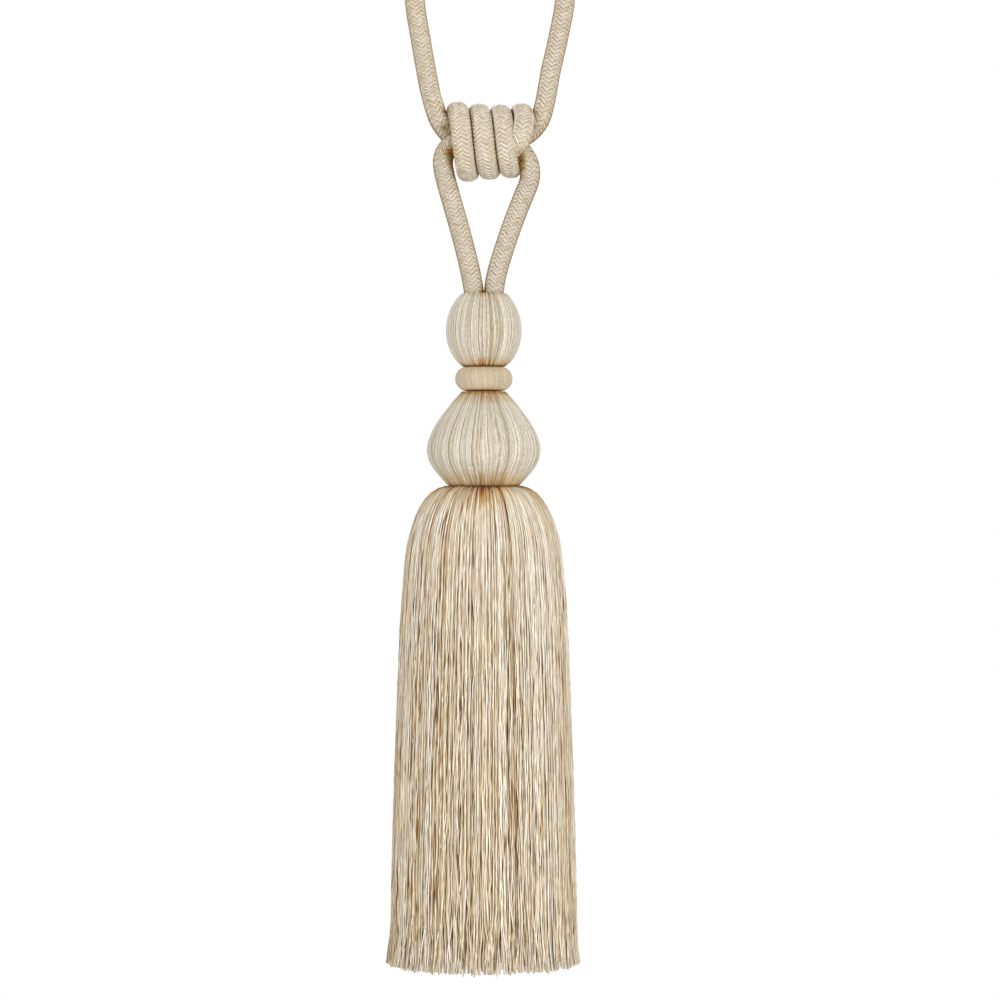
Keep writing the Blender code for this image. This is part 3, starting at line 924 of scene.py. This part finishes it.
# Short yarn ends that fill the hem from below: a sunflower spread of points, as far out as the square root of
# their number, each a small upright five-sided tube.
def hemEnds():
    count = hem["ends"]
    index = np.arange(count)[:, None]
    reach = np.sqrt((index + 0.5) / count) * hem["reach"]
    angle = index * hem["turn"] + rng.normal(0, hem["scatter"], (count, 1))
    drop = np.array(hem["drops"]) * mm + rng.normal(0, hem["uneven"], (count, 1)) * hem["unevenRings"]
    lean = rng.normal(0, hem["lean"], (2, count, 1)) * hem["leanRings"]
    wide = np.array(hem["radii"]) * mm
    corner = np.linspace(0, 2 * math.pi, 5, endpoint=False)
    points = np.stack([
        axisX + (reach * np.sin(angle) + lean[0])[..., None] + np.cos(corner) * wide[None, :, None],
        (-reach * np.cos(angle) + lean[1])[..., None] + np.sin(corner) * wide[None, :, None],
        np.broadcast_to((skirt["topZ"] - drop)[..., None], (count, 3, 5)),
    ], -1)
    tones = yarnColour("skirt", groupedTones(count, *hem["runs"]))
    colour = tones[:, None, None] * np.array(hem["shades"])[None, :, None, None]
    along = np.zeros(points.shape[:3] + (2,)) + index[..., None, None]
    return points[:, :, ::-1], np.broadcast_to(colour, points.shape), along


# A piece of the skirt from strands' points, colours and map.
def addStrands(name, points, colour, along):
    quads, ends = strandFaces(*points.shape[:3])
    addPiece(name, fillMesh(name, points, quads, ends, colour, along), skirtPaint, ["skirt"])


skirtLine = smoothRoute(np.array(skirtPoints) * mm, 1.0 * mm)
for layer in range(len(skirt["layers"])):
    addStrands("skirt_layer_%d" % (layer + 1), *yarnLayer(skirtLine, layer))
addStrands("hem_ends", *hemEnds())

core = {
    "depth": 3.4 * mm,  # under the outline
    "neck": 15.0 * mm, "up": 2.0 * mm,  # radius of its neck, and how far that goes up
    "shoulder": 22.0 * mm,  # the outline is followed from this radius on
    "lower": 1.2 * mm,
    "bottom": 222.0 * mm,
    "step": 4.0 * mm,
    "columns": 96,
}


# The body of yarn inside the skirt, painted dark brown as the shade seen between the yarns: the outline
# less the layers' depth, turned, with a neck that goes up into the pear, closed above and below.
def coreOfSkirt():
    outline = smoothRoute(np.array(skirtPoints) * mm, core["step"])
    keep = outline[(outline[:, 0] < core["bottom"]) & (outline[:, 1] > core["shoulder"])]
    radius = np.concatenate([[core["neck"]] * 2, keep[:, 1] - core["depth"]])
    drop = np.concatenate([[-core["up"], core["lower"]], keep[:, 0] + core["lower"]])
    angle = np.linspace(0, 2 * math.pi, core["columns"], endpoint=False)[None]
    points = np.stack([
        axisX + radius[:, None] * np.sin(angle), -radius[:, None] * np.cos(angle),
        np.broadcast_to(skirt["topZ"] - drop[:, None], (len(drop), core["columns"])),
    ], -1)
    colour = np.broadcast_to(np.array(coreShadeBrown), points.shape)
    along = np.zeros(points.shape[:2] + (2,))
    faces = latheFaces(len(drop), core["columns"])
    return closeEnds(fillMesh("skirt_core", points, faces, None, colour, along))


addPiece("skirt_core", coreOfSkirt(), skirtPaint, ["skirt"])
print("skirt hung")


# studio: pale floor well below the tassel, soft light, white surround

studio = {
    "floorZ": -0.70, "floorRadius": 0.55, "floorSides": 96,
    "floorTones": ((0.86, 0.86, 0.86, 1), (0.9, 0.9, 0.9, 1)),
    "ambient": 0.55,
    "aim": (0, 0, -0.30),
    "lights": [  # name, place, width and watts
        ("front", (0.10, -1.75, -0.15), 0.6, 6.5),
        ("low", (0.15, -1.60, -0.64), 0.5, 4.0),
        ("key", (0.80, -1.35, 0.25), 0.7, 8.0),
        ("fill", (-0.95, -1.25, 0.05), 0.9, 4.7),
        ("back right", (1.1, 1.1, 0.55), 0.8, 8.0),
        ("back left", (-1.1, 1.1, 0.55), 0.8, 8.0),
    ],
}


# A round pale floor with a faint grain.
def makeFloor():
    sides = studio["floorSides"]
    angle = np.linspace(0, 2 * math.pi, sides, endpoint=False)
    ringPoints = np.stack([np.cos(angle), np.sin(angle), np.zeros_like(angle)], 1) * studio["floorRadius"]
    mesh = bpy.data.meshes.new("floor")
    mesh.from_pydata((ringPoints + np.array([0, 0, studio["floorZ"]])).tolist(), [], [list(range(sides))])
    floor = bpy.data.objects.new("floor", mesh)
    bpy.context.scene.collection.objects.link(floor)
    paint = Paint("pale floor")
    place = paint.node("ShaderNodeTexCoord", {}, {}, "Object")
    grain = paint.noise(place, 30.0)
    paint.set(Base_Color=paint.mix(grain, *studio["floorTones"]), Roughness=0.8)
    mesh.materials.append(paint.material)


# A round lamp that looks at the aim: tipped from straight down by that way's angle, then turned about Z.
def areaLight(name, place, aim, size, power):
    data = bpy.data.lights.new(name, "AREA")
    data.shape = "DISK"
    data.size = size
    data.energy = power
    lamp = bpy.data.objects.new(name, data)
    bpy.context.scene.collection.objects.link(lamp)
    lamp.location = place
    direction = np.array(aim, float) - np.array(place, float)
    flat = math.hypot(direction[0], direction[1])
    lamp.rotation_euler = (math.atan2(flat, -direction[2]), 0, math.atan2(-direction[0], direction[1]))


# White where the world is seen, softer where it lights the yarn, so that grooves keep their shade.
def makeWorld():
    world = bpy.data.worlds.new("studio")
    world.use_nodes = True
    sky = Nodes(world.node_tree)
    white = (1, 1, 1, 1)
    seen = sky.node("ShaderNodeBackground", {}, {"Color": white, "Strength": 1.0})
    lighting = sky.node("ShaderNodeBackground", {}, {"Color": white, "Strength": studio["ambient"]})
    rays = sky.node("ShaderNodeLightPath", {}, {}, "Is Camera Ray")
    blend = sky.node("ShaderNodeMixShader", {}, {0: rays, 1: lighting, 2: seen})
    sky.put(sky.tree.nodes["World Output"].inputs["Surface"], blend)
    bpy.context.scene.world = world
    bpy.context.scene.view_settings.view_transform = "Standard"


makeFloor()
makeWorld()
for name, place, size, power in studio["lights"]:
    areaLight(name, place, studio["aim"], size, power)
print("studio lit")
